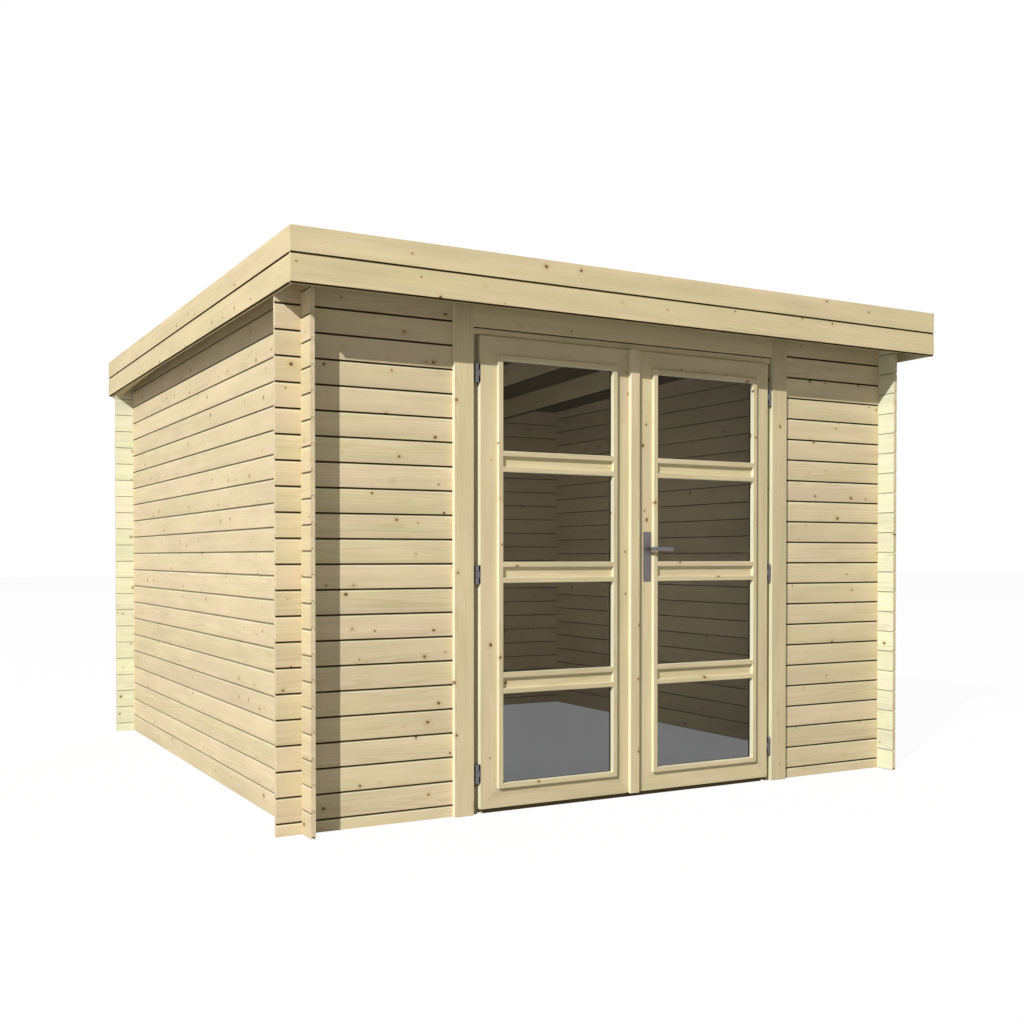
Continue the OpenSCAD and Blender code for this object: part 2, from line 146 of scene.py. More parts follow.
# ---------- node helpers
class Graph:
    """Short calls for building a material's nodes. A value may be a number, a colour or a socket."""

    def __init__(self, tree):
        self.tree = tree

    def node(self, kind, **settings):
        made = self.tree.nodes.new(kind)
        for key, value in settings.items():
            setattr(made, key, value)
        return made

    def put(self, socket, value):
        if isinstance(value, bpy.types.NodeSocket):
            self.tree.links.new(value, socket)
        else:
            socket.default_value = value

    def fill(self, made, values):
        """Fills in a node's inputs: the first ones, or those that a dictionary names."""
        for key, value in values.items() if isinstance(values, dict) else enumerate(values):
            self.put(made.inputs[key], value)
        return made

    def filled(self, kind, values, **settings):
        return self.fill(self.node(kind, **settings), values)

    def math(self, op, a, b=0.0, c=0.0):
        return self.filled("ShaderNodeMath", (a, b, c), operation=op).outputs[0]

    def mul(self, a, b):
        return self.math("MULTIPLY", a, b)

    def mad(self, a, b, c):
        """a times b plus c."""
        return self.math("MULTIPLY_ADD", a, b, c)

    def vec(self, op, a, b=(0, 0, 0)):
        n = self.filled("ShaderNodeVectorMath", (a, b), operation=op)
        return n.outputs["Value"] if op == "LENGTH" else n.outputs[0]

    def split(self, v):
        return self.filled("ShaderNodeSeparateXYZ", (v,)).outputs[:3]

    def join(self, x, y, z):
        return self.filled("ShaderNodeCombineXYZ", (x, y, z)).outputs[0]

    def mix(self, fac, a, b, mode="MIX"):
        n = self.filled("ShaderNodeMix", {"Factor": fac, 6: a, 7: b}, data_type="RGBA", blend_type=mode,
                        clamp_factor=True)
        return n.outputs[2]

    def times(self, colour, other):
        return self.mix(1.0, colour, other, "MULTIPLY")

    def mix_shader(self, fac, a, b):
        return self.filled("ShaderNodeMixShader", (fac, a, b)).outputs[0]

    def ramp(self, v, a, b):
        """0 where v is a, 1 where it is b, with a smooth rise between."""
        n = self.filled("ShaderNodeMapRange", (v, a, b), clamp=True, interpolation_type="SMOOTHSTEP")
        return n.outputs[0]

    def noise(self, v, stretch, detail=2.0, rough=0.5, shift=(0, 0, 0)):
        """Noise over v, with a stretch in waves a metre along each axis. Around 0.5."""
        place = self.vec("ADD", self.vec("MULTIPLY", v, stretch), shift)
        n = self.filled("ShaderNodeTexNoise", {"Vector": place, "Scale": 1.0, "Detail": detail,
                                               "Roughness": rough}, noise_dimensions="3D")
        return n.outputs[0]

    def cells(self, v):
        return self.filled("ShaderNodeTexVoronoi", {"Vector": v, "Scale": 1.0}, voronoi_dimensions="3D",
                           feature="F1")

    def bump(self, shader, height, strength, distance):
        n = self.filled("ShaderNodeBump", {"Height": height, "Strength": strength, "Distance": distance})
        self.put(shader.inputs["Normal"], n.outputs[0])

    def attribute(self, name):
        return self.node("ShaderNodeAttribute", attribute_name=name).outputs["Vector"]

    def place(self):
        return self.node("ShaderNodeTexCoord").outputs["Object"]


def new_object(name, data):
    made = bpy.data.objects.new(name, data)
    bpy.context.scene.collection.objects.link(made)
    return made


def bare_material(name):
    material = bpy.data.materials.new(name)
    material.use_nodes = True
    material.node_tree.nodes.clear()
    g = Graph(material.node_tree)
    return material, g, g.node("ShaderNodeOutputMaterial").inputs["Surface"]


def new_material(name):
    material, g, surface = bare_material(name)
    shader = g.node("ShaderNodeBsdfPrincipled")
    g.put(surface, shader.outputs[0])
    return material, g, shader


def srgb(r, g, b):
    """A colour given by its display values, 0 to 255, as linear light."""
    def one(c):
        c = c / 255
        return c / 12.92 if c <= 0.04045 else ((c + 0.055) / 1.055) ** 2.4
    return one(r), one(g), one(b), 1.0


# ---------- materials
# Knots: one in every cell, so many a metre along and across the board, some of them left out
KNOT_CELL = (6.2, 12.0, 0.9)
KNOT_STRETCH = (0.85, 1.0, 0.009)
KNOT_SMALL, KNOT_SPREAD = 0.0031, 0.0044
KNOT_PALE, KNOT_DARK = srgb(136, 104, 64), srgb(94, 71, 43)
KNOT_LATE, KNOT_RIM, KNOT_HALO = srgb(86, 63, 37), srgb(66, 48, 29), srgb(194, 163, 115)
YEAR_W, KNOT_YEAR_W = 0.0036, 0.0013
# Painted shade: this tint darkens joints, grooves, recesses, undersides and parts that lie deep in shade
JOINT_SHADE_TINT = (0.085, 0.06, 0.025, 1)
# Sawn faces are paler than weathered ones. On the logs the same tint also makes a painted highlight along the
# arris below each groove
FRESH_AND_HIGHLIGHT_TINT = (1.09, 1.29, 1.50)
FRESH_JOINERY = (1.27, 1.46, 1.72)


def spruce(name, warm, cool, ring=0.08, knot_share=0.44, rough=0.56, ups=1.0, pale_tint=FRESH_AND_HIGHLIGHT_TINT):
    """Planed spruce. Boards carry three attributes: grain, the place in the tree the board was sawn
    from; tone, three random numbers for the board; and mark, three numbers for a spot: the painted
    shade in joints, grooves, recesses and undersides, how pale it is, for freshly sawn faces and for a
    painted highlight along the logs' arrises, and how much end grain it is."""
    material, g, shader = new_material(name)
    p = g.attribute("grain")
    tone_hue, tone_value, _ = g.split(g.attribute("tone"))
    joint, pale, end = g.split(g.attribute("mark"))
    _, py, pz = g.split(p)

    k = g.vec("MULTIPLY", p, KNOT_CELL)
    cell = g.cells(k)
    away = g.vec("SUBTRACT", k, cell.outputs["Position"])
    away = g.vec("MULTIPLY", away, tuple(1 / c for c in KNOT_CELL))
    dist = g.vec("LENGTH", g.vec("MULTIPLY", away, KNOT_STRETCH))
    size_pick, there_pick, tone_pick = g.split(cell.outputs["Color"])
    there = g.math("LESS_THAN", there_pick, knot_share)
    size = g.mad(g.mul(size_pick, size_pick), KNOT_SPREAD, KNOT_SMALL)
    lump = g.noise(p, (90, 90, 30))
    dist = g.mul(dist, g.mad(lump, 0.9, 0.55))
    reach = g.math("DIVIDE", dist, size)
    knot = g.mul(g.ramp(reach, 1.18, 0.82), there)
    rim = g.mul(knot, g.ramp(reach, 0.5, 0.95))
    halo = g.mul(g.ramp(reach, 3.6, 0.9), there)

    # Year rings round the pith, pushed out round the knots
    bend = g.noise(p, (1.1, 13, 13))
    radius = g.math("SQRT", g.math("ADD", g.mul(py, py), g.mul(pz, pz)))
    radius = g.mad(bend, 0.022, radius)
    radius = g.mad(g.mul(halo, size), 1.6, radius)
    years = g.mad(g.noise(p, (0.4, 30, 30), 1), 1.4, g.math("DIVIDE", radius, YEAR_W))
    year = g.math("FRACT", years)
    late = g.mul(g.ramp(year, 0.3, 0.92), g.ramp(year, 1.0, 0.93))
    knot_year = g.math("FRACT", g.math("DIVIDE", dist, KNOT_YEAR_W))
    late = g.math("ADD", g.mul(late, g.math("SUBTRACT", 1.0, knot)), g.mul(g.ramp(knot_year, 0.3, 0.9), knot))

    fibre = g.noise(p, (14, 620, 620), 3, 0.6)
    streak = g.noise(p, (1.7, 48, 48))
    blotch = g.noise(p, (1.3, 7, 7), 1, shift=(3.1, 7.7, 1.9))
    patch = g.noise(p, (2.6, 11, 11), shift=(11.3, 2.7, 5.9))
    tint = g.noise(p, (5.5, 34, 34), 1, shift=(1.3, 4.7, 8.9))

    hue = g.mad(tone_hue, 0.2, g.mad(blotch, 1.1, -0.75))
    colour = g.mix(g.mad(tint, 1.2, hue), warm, cool)
    value = g.mad(tone_value, 0.09, 0.955)
    for part, share in ((streak, 0.22), (patch, 0.29), (fibre, 0.14)):
        value = g.mad(g.math("SUBTRACT", part, 0.5), share, value)
    value = g.mad(late, -ring, value)
    value = g.mad(end, -0.05, value)
    colour = g.times(colour, g.join(value, g.mad(late, -0.025, value), g.mad(late, -0.06, value)))
    colour = g.mix(g.mul(halo, 0.42), colour, KNOT_HALO)
    heart = g.mix(tone_pick, KNOT_PALE, KNOT_DARK)
    heart = g.mix(g.mul(late, 0.35), heart, KNOT_LATE)
    heart = g.mix(g.mul(rim, 0.75), heart, KNOT_RIM)
    colour = g.mix(g.mul(knot, 0.9), colour, heart)
    # Pale sawn faces, and on the logs a painted highlight along the arrises
    colour = g.mix(pale, colour, g.times(colour, (*pale_tint, 1)))
    # Painted shade, where the mark asks for it
    colour = g.mix(joint, colour, g.times(colour, JOINT_SHADE_TINT))
    g.fill(shader, {"Base Color": colour, "Roughness": g.mad(late, -0.07, g.mad(fibre, 0.16, rough)),
                    "Specular IOR Level": g.mad(joint, -0.2, 0.22)})
    g.bump(shader, g.mad(late, 0.5, g.mad(fibre, ups, g.mul(knot, 0.6))), 0.5, 0.4 * MM)
    return material


def felt_material():
    """Mineral-surfaced bitumen felt: fine slate grains, some rubbed off, on black."""
    material, g, shader = new_material("felt_surface")
    p = g.place()
    grains = g.cells(g.vec("MULTIPLY", p, (700, 700, 700)))
    grain_tone, grain_hue, _ = g.split(grains.outputs["Color"])
    wide = g.noise(p, (2.2, 2.2, 2.2), 3)
    rows = g.noise(p, (1.2, 26, 26), shift=(4.4, 0, 0))
    colour = g.mix(grain_tone, srgb(58, 60, 60), srgb(104, 106, 104))
    colour = g.mix(g.mul(grain_hue, 0.35), colour, srgb(86, 96, 88))
    value = g.mad(wide, 0.5, g.mad(rows, 0.3, 0.58))
    colour = g.times(colour, g.join(value, value, value))
    bare = g.mul(g.ramp(g.noise(p, (46, 46, 46), 3, shift=(0, 9, 3)), 0.66, 0.76), 0.7)
    g.fill(shader, {"Base Color": g.mix(bare, colour, srgb(34, 34, 35)),
                    "Roughness": g.mad(bare, -0.25, 0.92), "Specular IOR Level": 0.3})
    g.bump(shader, g.math("SUBTRACT", 1.0, grains.outputs["Distance"]), 0.6, 0.8 * MM)
    return material


def steel_material(name, dark, light, rough):
    """Satin metal: fine brushed lines and a few dull spots."""
    material, g, shader = new_material(name)
    p = g.place()
    brushed = g.noise(p, (2600, 2600, 40), 2, 0.6)
    dull = g.noise(p, (60, 60, 60), 3)
    colour = g.mix(g.mad(brushed, 0.7, g.mad(dull, 0.6, -0.15)), dark, light)
    g.fill(shader, {"Base Color": colour, "Metallic": 0.9, "Roughness": g.mad(dull, 0.22, rough)})
    g.bump(shader, brushed, 0.25, 0.1 * MM)
    return material


def glass_material():
    """Grey-tinted sheet glass: each face lets through the root of what the pane does."""
    material, g, surface = bare_material("pane_glass")
    haze = g.noise(g.place(), (3.1, 3.1, 3.1))
    tint = g.mix(haze, (0.392, 0.394, 0.394, 1), (0.418, 0.420, 0.420, 1))
    through = g.filled("ShaderNodeBsdfTransparent", (tint,))
    gloss = g.filled("ShaderNodeBsdfGlossy", {"Color": (0.9, 0.92, 0.92, 1), "Roughness": 0.03})
    fresnel = g.filled("ShaderNodeFresnel", {"IOR": 1.18})
    g.put(surface, g.mix_shader(fresnel.outputs[0], through.outputs[0], gloss.outputs[0]))
    return material


LOG_WOOD = spruce("spruce_log_surface", srgb(218, 197, 166), srgb(209, 197, 154))
BOARD_WOOD = spruce("spruce_board_surface", srgb(211, 191, 156), srgb(203, 191, 146))
JOINERY_WOOD = spruce("spruce_joinery_surface", srgb(208, 190, 157), srgb(201, 189, 147), ring=0.06,
                      knot_share=0.36, rough=0.5, ups=0.7, pale_tint=FRESH_JOINERY)
ROOF_WOOD = spruce("roof_timber_surface", srgb(190, 168, 132), srgb(180, 164, 122), ring=0.12, rough=0.66,
                   ups=1.5)
FELT = felt_material()
STEEL = steel_material("satin_metal_surface", srgb(106, 103, 104), srgb(134, 131, 132), 0.36)
DARK_STEEL = steel_material("pin_metal_surface", srgb(88, 86, 88), srgb(116, 114, 116), 0.3)
GLASS = glass_material()


# ---------- shapes
def axes(origin, along, a, b):
    """Matrix that puts (along, a, b) of a section into the frame."""
    m = Matrix((along, a, b)).transposed().to_4x4()
    m.translation = origin
    return m


def facing(point, up):
    """Matrix that puts the third axis along up, at point."""
    m = up.to_track_quat("Z", "Y").to_matrix().to_4x4()
    m.translation = point
    return m


def arc(x, y, r, start, turn, steps):
    """Points on an arc, with both ends. Angles are in radians."""
    angles = [start + turn * i / steps for i in range(steps + 1)]
    return [(x + r * math.cos(angle), y + r * math.sin(angle)) for angle in angles]


def rounded(w, t, r=1.0 * MM, steps=2, radii=None, pale=0.0):
    """Outline of a board's section: w across, t thick, with rounded edges. Points are (a, b, painted
    shade, pale). radii gives the four edges' own radii from the origin on, anticlockwise."""
    corners = ((0, 0, 1, 1, 180), (w, 0, -1, 1, 270), (w, t, -1, -1, 0), (0, t, 1, -1, 90))
    points = []
    for (x, y, sx, sy, start), rad in zip(corners, radii or (r, r, r, r)):
        if rad <= 0:
            points.append((x, y))
        else:
            points += arc(x + sx * rad, y + sy * rad, rad, math.radians(start), math.pi / 2,
                          steps if rad < BEVEL else 1)
    return [(a, b, 0.0, pale) for a, b in points]


def ring_outline(w, h, r, steps=6):
    return [q[:2] for q in rounded(w, h, r, steps)]


def shrunk(points, e):
    """A closed outline moved inward by e."""
    made = []
    for i in range(len(points)):
        before, here, after = (Vector(points[j % len(points)]) for j in (i - 1, i, i + 1))
        n1 = Vector(((here - before).y, -(here - before).x)).normalized()
        n2 = Vector(((after - here).y, -(after - here).x)).normalized()
        made.append(here - (n1 + n2) / max(0.35, 1 + n1.dot(n2)) * e)
    return made


class Piece:
    """A mesh in the making, which ends as one object."""

    def __init__(self, name):
        self.name = name
        self.bm = bmesh.new()

    def ring(self, place, points):
        """New vertices at points, once place has put them into the frame."""
        return [self.bm.verts.new(place @ Vector(point)) for point in points]

    def bridge(self, rings, caps=True):
        """Walls between closed rings, and a face over each end."""
        for r0, r1 in zip(rings, rings[1:]):
            for i in range(len(r0)):
                j = (i + 1) % len(r0)
                self.bm.faces.new((r0[i], r0[j], r1[j], r1[i]))
        if caps:
            self.bm.faces.new(rings[0][::-1])
            self.bm.faces.new(rings[-1])

    def finish(self, material, body, slot, *nodes, smooth=True, angle=40):
        bmesh.ops.recalc_face_normals(self.bm, faces=self.bm.faces)
        mesh = bpy.data.meshes.new(self.name)
        self.bm.to_mesh(mesh)
        self.bm.free()
        mesh.materials.append(material)
        piece = new_object(self.name, mesh)
        if smooth:
            mesh.shade_smooth()
            mesh.set_sharp_from_angle(angle=math.radians(angle))
            even = piece.modifiers.new("even_normals", "WEIGHTED_NORMAL")
            even.keep_sharp = True
            even.weight = 90
        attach(piece, body)
        if nodes:
            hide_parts(*nodes)


class Timber(Piece):
    """A piece made of boards. Each board is an island with its own grain."""

    def __init__(self, name):
        super().__init__(name)
        self.rng = random.Random(name)
        layers = self.bm.verts.layers.float_vector
        self.grain = layers.new("grain")
        self.tone = layers.new("tone")
        self.mark = self.bm.loops.layers.float_vector.new("mark")

    def board(self, outline, u0, u1, place, cuts=(), e=0.5 * MM, value=0.5, flat_axis=0, pale_edges=0.0,
              room=None):
        """Runs outline from u0 to u1 and puts it in place, a matrix from (along, a, b) to the frame.
        e is the broken edge at both ends. cuts are planes (point, normal): what lies beyond one is cut
        off. value makes the board lighter, from 0.5 up. pale_edges whitens the narrow faces, as freshly
        sawn. room is the stretch inside the shed: there the inner face is not pale and the painted shade
        in its joints is darker."""
        bm, rng = self.bm, self.rng
        wide = [q[flat_axis] for q in outline]
        deep = [q[1 - flat_axis] for q in outline]
        span = max(wide) - min(wide)
        pith_w = (max(wide) + min(wide)) / 2 + rng.uniform(-0.9, 0.9) * span
        pith_d = rng.choice((min(deep) - rng.uniform(0.02, 0.11), max(deep) + rng.uniform(0.02, 0.11)))
        lean_w, lean_d = rng.uniform(-0.01, 0.01), rng.uniform(-0.014, 0.014)
        along = rng.uniform(5, 90)
        tone = Vector((rng.random(), rng.random() + value - 0.5, rng.random()))
        inset = shrunk([q[:2] for q in outline], e)
        stations = [(u0, inset), (u0 + e, outline), (u1 - e, outline), (u1, inset)]
        if room:
            stations[2:2] = [(u, outline) for u in room if u0 + e < u < u1 - e]
        rings = []
        for u, points in stations:
            rings.append(self.ring(place, [(u, q[0], q[1]) for q in points]))
            for v, q in zip(rings[-1], points):
                v[self.grain] = (u + along, q[flat_axis] - pith_w + lean_w * u,
                                 q[1 - flat_axis] - pith_d + lean_d * u)
                v[self.tone] = tone
        faces = []
        for i, q0 in enumerate(outline):
            j = (i + 1) % len(outline)
            q1 = outline[j]
            side = Vector(q1[:2]) - Vector(q0[:2])
            narrow = abs(side[1 - flat_axis]) / max(side.length, 1e-9)
            pale = pale_edges * min(1.0, max(0.0, (narrow - 0.5) / 0.4))
            for k, (r0, r1) in enumerate(zip(rings, rings[1:])):
                face = bm.faces.new((r0[i], r0[j], r1[j], r1[i]))
                middle = (stations[k][0] + stations[k + 1][0]) / 2
                indoors = room is not None and room[0] < middle < room[1]
                for loop, q in zip(face.loops, (q0, q1, q1, q0)):
                    joint, inner = q[2], max(q[3], pale)
                    if inner and joint and not indoors:
                        joint *= OUTDOOR_V
                    loop[self.mark] = Vector((joint, 0.0 if indoors and q[3] == 1 else inner, 0))
                faces.append(face)
        for ring in (rings[0][::-1], rings[-1]):
            cap = bm.faces.new(ring)
            for loop in cap.loops:
                loop[self.mark] = Vector((0, 0, 1))
            faces.append(cap)
        for point, normal in cuts:
            # Dictionaries keep their order, so the mesh is the same in each run
            verts = dict.fromkeys(v for f in faces for v in f.verts)
            edges = dict.fromkeys(x for f in faces for x in f.edges)
            done = bmesh.ops.bisect_plane(bm, geom=[*verts, *edges, *faces], dist=1e-7, plane_co=point,
                                          plane_no=normal, clear_outer=True)
            rim = [x for x in done["geom_cut"] if isinstance(x, bmesh.types.BMEdge) and x.is_valid]
            faces = [x for x in done["geom"] if isinstance(x, bmesh.types.BMFace) and x.is_valid]
            if rim:
                faces += bmesh.ops.edgeloop_fill(bm, edges=rim)["faces"]

    def box_board(self, lo, hi, run, r=BOARD_R, steps=2, radii=None, pale=0.0, under=0.0, **options):
        """A plain board between two corners, with its grain along axis run. The option after pale sets
        how dark the painted shade on the face at the lowest b is."""
        a_axis, b_axis = ((Y, Z), (Z, X), (X, Y))[run]
        unit = (EX, EY, EZ)
        w, t = hi[a_axis] - lo[a_axis], hi[b_axis] - lo[b_axis]
        origin = [0.0, 0.0, 0.0]
        origin[a_axis], origin[b_axis] = lo[a_axis], lo[b_axis]
        outline = [(a, b, under if b < 1.5 * MM else 0.0, face)
                   for a, b, _, face in rounded(w, t, r, steps, radii, pale)]
        self.board(outline, lo[run], hi[run], axes(origin, unit[run], unit[a_axis], unit[b_axis]),
                   flat_axis=0 if w >= t else 1, **options)


def plank(name, node, run, material, slot="spruce_joinery", body="shed", **options):
    """A piece that is one plain board."""
    piece = Timber(name)
    piece.box_board(*BOX[node], run, **options)
    piece.finish(material, body, slot, node)


class Metal(Piece):
    """A piece made of turned parts, plates and screws."""

    def turned(self, place, profile, segments=20):
        """A turned part: profile is (radius, height) pairs along the third axis of place."""
        bm = self.bm
        rings = []
        for r, h in profile:
            turn = [math.tau * i / segments for i in range(segments if r > 1e-7 else 1)]
            rings.append(self.ring(place, [(r * math.cos(t), r * math.sin(t), h) for t in turn]))
        for r0, r1 in zip(rings, rings[1:]):
            for i in range(segments):
                j = (i + 1) % segments
                quad = [r0[i % len(r0)], r0[j % len(r0)], r1[j % len(r1)], r1[i % len(r1)]]
                corners = list(dict.fromkeys(quad))
                if len(corners) > 2:
                    bm.faces.new(corners)
        for ring in (rings[0][::-1], rings[-1]):
            if len(ring) > 2:
                bm.faces.new(ring)

    def slab(self, outline, t, place, e=0.4 * MM):
        """A plate with broken edges: outline in (a, b), thickness t along the third axis."""
        inset = shrunk(outline, e)
        self.bridge([self.ring(place, [(a, b, h) for a, b in points])
                     for h, points in ((0, inset), (e, outline), (t - e, outline), (t, inset))])

    def screw(self, point, up, r=3.6 * MM):
        """A countersunk screw head with a recess, standing a hair proud."""
        self.turned(facing(point, up),
                    ((r, -0.4 * MM), (r, 0.1 * MM), (r * 0.82, 0.45 * MM), (r * 0.34, 0.5 * MM),
                     (r * 0.2, -0.2 * MM), (0, -0.3 * MM)), 12)


# ---------- walls
def log_outline(groove_shade=1.0):
    """Section of a log: a from the outer face inward, b up from the seam below. Points are (a, b,
    painted shade, pale). The painted shade darkens the shadow groove, the outer step at the log's
    lower seam and the fine V joints; the pale stripe on the arris and face just below the groove is a
    painted highlight. The one argument sets how dark the painted shade on the outer side is."""
    t, h = WALL_T, PITCH
    root = 4.6 * MM
    hair = 0.1 * MM
    tongue = TONGUE_H
    slot = tongue + TONGUE_R
    lip = h + LIP - GROOVE_H
    outline = [
        (0, LIP + ARRIS, 0.1, 0), (0.3 * MM, LIP + 0.3 * MM, 0.3, 0), (ARRIS, LIP, 0.7, 0),
        (root, LIP, 1, 0), (root, slot, 1, 0), (t - root, slot, 1, 1),
        (t - root, 0, 1, 1), (t - INNER_V, 0, 1, 1), (t - hair, INNER_V - hair, 0.9, 1),
        (t, INNER_V, 0, 1), (t, h - INNER_V, 0, 1), (t - hair, h - INNER_V + hair, 0.9, 1),
        (t - INNER_V, h, 1, 1), (t - GROOVE_D, h, 1, 1),
        (t - GROOVE_D, h + tongue - TONGUE_R, 1, 1), (t - GROOVE_D - TONGUE_R, h + tongue, 1, 1),
        (GROOVE_D + TONGUE_R, h + tongue, 1, 0), (GROOVE_D, h + tongue - TONGUE_R, 1, 0),
        # Painted shade on the groove's floor and splay, then a painted highlight: a pale stripe on the arris
        # and the face below
        *groove_floor(h), (ARRIS, lip + ARRIS, 0.25, 0), (ARRIS, lip + ARRIS - hair, 0, 0.95),
        (0, lip - 0.5 * MM, 0, 0.95), (0, lip - 2.8 * MM, 0, 0),
    ]
    return [(a, b, joint if pale == 1 else joint * groove_shade, pale) for a, b, joint, pale in outline]


def groove_floor(h):
    """The deep end of the shadow groove at the top of a board of height h, with painted shade on its floor
    and splay.
    """
    floor = h + LIP - GROOVE_FLOOR
    return [(GROOVE_D, floor, 1, 0), (GROOVE_D * 0.55, floor - GROOVE_D * 0.45, 0.9, 0)]


def build_wall(name, first_seam, logs, top, place, spans, room, nodes, groove_shade=1.0):
    """A wall of logs up to top. place gives a log's matrix from the height of its lower seam, and
    spans gives the ends of its parts from its number."""
    section = log_outline(groove_shade)
    wall = Timber(name + "_logs")
    for k in range(logs):
        seam = first_seam + k * PITCH
        cuts = [GROUND_CUT] if seam < -1e-6 else []
        if seam + PITCH + TONGUE_H > top:
            cuts.append(ROOF_CUT)
        for u0, u1 in spans(k):
            wall.board(section, u0, u1, place(seam), cuts, flat_axis=1, room=room)
    wall.finish(LOG_WOOD, "shed", "spruce_logs", *nodes)


def build_walls():
    room_x = (WALL_T - SIDE_X, SIDE_X - WALL_T)
    room_y = (FRONT_Y + WALL_T, REAR_Y - WALL_T)

    def front_spans(k):
        if k < LOGS_BELOW_LINTEL:
            return (-LOG_END_X, -POST_X), (POST_X, LOG_END_X)
        return ((-LOG_END_X, LOG_END_X),)

    build_wall("front_wall", -PITCH / 2, FRONT_LOGS, FRONT_WALL_Z,
               lambda seam: axes((0, FRONT_Y, seam), EX, EY, EZ), front_spans, room_x,
               ("front_wall_left", "front_wall_right", "front_wall_lintel"))
    build_wall("rear_wall", -PITCH / 2, FRONT_LOGS - 1, REAR_WALL_Z,
               lambda seam: axes((0, REAR_Y, seam), EX, -EY, EZ),
               lambda k: ((-LOG_END_X, LOG_END_X),), room_x, ("rear_wall",))
    for side, node in ((-1, "left_side_wall"), (1, "right_side_wall")):
        build_wall(node, 0, FRONT_LOGS, REAR_WALL_Z - 2 * PITCH,
                   lambda seam, side=side: axes((side * SIDE_X, 0, seam), EY, EX * -side, EZ),
                   lambda k: ((SIDE_Y0, SIDE_Y1),), room_y, (node,), SIDE_GROOVE_SHADE)


# ---------- roof
DECK_LO, DECK_HI = BOX["roof_deck"]
DECK_X = DECK_HI.x
DECK_TOP = (DECK_LO.y - FRONT_Y) / math.cos(SLOPE)
DECK_END = (DECK_HI.y - FRONT_Y) / math.cos(SLOPE)
FELT_TOP = DECK_T + FELT_T
FELT_SHOWS = (DECK_END - DECK_TOP) / FELT_STRIPS


def on_roof(x, down, up):
    """A point on the roof: x across, down the slope from the front wall, up from the beams' top."""
    return ROOF_POINT + ROOF_DOWN * down + ROOF_NORMAL * up + EX * x


def build_deck():
    width = (DECK_END - DECK_TOP) / DECK_BOARDS
    v = 3 * MM
    deck = Timber("roof_deck_boards")
    # Painted shade: the boards are darkened all round, most on the underside and darkest at its splayed edges
    section = [(v, 0, 0.72, 0), (width - v, 0, 0.72, 0), (width, v, 0.9, 0), (width, DECK_T, 0.5, 0),
               (0, DECK_T, 0.5, 0), (0, v, 0.9, 0)]
    for i in range(DECK_BOARDS):
        place = axes(on_roof(0, DECK_TOP + i * width, 0), EX, ROOF_DOWN, ROOF_NORMAL)
        deck.board(section, -DECK_X, DECK_X, place)
    deck.finish(ROOF_WOOD, "shed", "roof_timber", "roof_deck")


def felt_stations():
    """Places down the roof and the felt's height there: each strip laps over the one below it."""
    stations = []
    for k in range(FELT_STRIPS):
        edge = DECK_END - FELT_SHOWS * (FELT_STRIPS - 1 - k)
        start = DECK_TOP if k == 0 else edge - FELT_SHOWS
        for f in (0.0, 0.25, 0.5, 0.75, 1.0):
            step = 0.5 * MM if f == 0 and k else 0
            stations.append((start + (edge - LAP - start) * f + step, 0.0))
        if k < FELT_STRIPS - 1:
            stations += [(edge - 88 * MM, LAP_H), (edge - 1.5 * MM, LAP_H), (edge, LAP_H * 0.55)]
        else:
            stations += [(edge - 50 * MM, 0.0), (edge, 0.0)]
    return stations


def build_felt():
    felt = Piece("roof_felt_sheets")
    bm = felt.bm
    columns = 48
    stations = felt_stations()
    rows = []
    for s, up in stations:
        row = []
        for i in range(columns + 1):
            x = -DECK_X + 2 * DECK_X * i / columns
            wave = 0.0 if i in (0, columns) else 0.7 * MM * mnoise.noise(Vector((x * 3.1, s * 4.7, 0.3)))
            row.append(bm.verts.new(on_roof(x, s, FELT_TOP + up + max(wave, -0.5 * MM))))
        rows.append(row)
    base = [[bm.verts.new(on_roof(x, s, DECK_T)) for x in (-DECK_X, DECK_X)] for s, _ in stations]
    for r0, r1, b0, b1 in zip(rows, rows[1:], base, base[1:]):
        for i in range(columns):
            bm.faces.new((r0[i], r1[i], r1[i + 1], r0[i + 1]))
        bm.faces.new((r0[0], b0[0], b1[0], r1[0]))
        bm.faces.new((r0[-1], r1[-1], b1[1], b0[1]))
        bm.faces.new((b0[0], b0[1], b1[1], b1[0]))
    bm.faces.new([base[0][0]] + rows[0] + [base[0][1]])
    bm.faces.new([base[-1][1]] + rows[-1][::-1] + [base[-1][0]])

    def strip(section, u0, u1, place):
        felt.bridge([felt.ring(place, [(u, a, b) for a, b in section]) for u in (u0, u1)])

    # Felt turned up along the fascia and down over the rear board
    turn_up = [(0, 0), (42 * MM, 0), (42 * MM, 1.2 * MM), (9 * MM, FLAP), (4 * MM, 4 * MM), (FLAP, 9 * MM),
               (FLAP, UPSTAND), (0, UPSTAND)]
    place = axes(on_roof(0, DECK_TOP + 0.4 * MM, FELT_TOP), EX, ROOF_DOWN, ROOF_NORMAL)
    strip(turn_up, -DECK_X, DECK_X, place)
    for side in (-1, 1):
        place = axes(on_roof(side * (DECK_X - 0.3 * MM), 0, FELT_TOP), ROOF_DOWN, EX * -side, ROOF_NORMAL)
        strip(turn_up, DECK_TOP, DECK_END, place)
    rear_lo, rear_hi = BOX["rear_eaves_board"]
    depth = rear_hi.y - rear_lo.y
    over = [(0, 0), (depth, 0), (depth, -FOLD), (depth + 2 * MM, -FOLD), (depth + 2 * MM, 0.8 * MM),
            (depth + 0.6 * MM, 2.4 * MM), (-40 * MM, 5.3 * MM), (-40 * MM, 4.2 * MM)]
    strip(over, -DECK_X, DECK_X, axes((0, rear_lo.y, rear_hi.z), EX, EY, EZ))
    felt.finish(FELT, "shed", "roofing_felt", "roof_felt", angle=50)


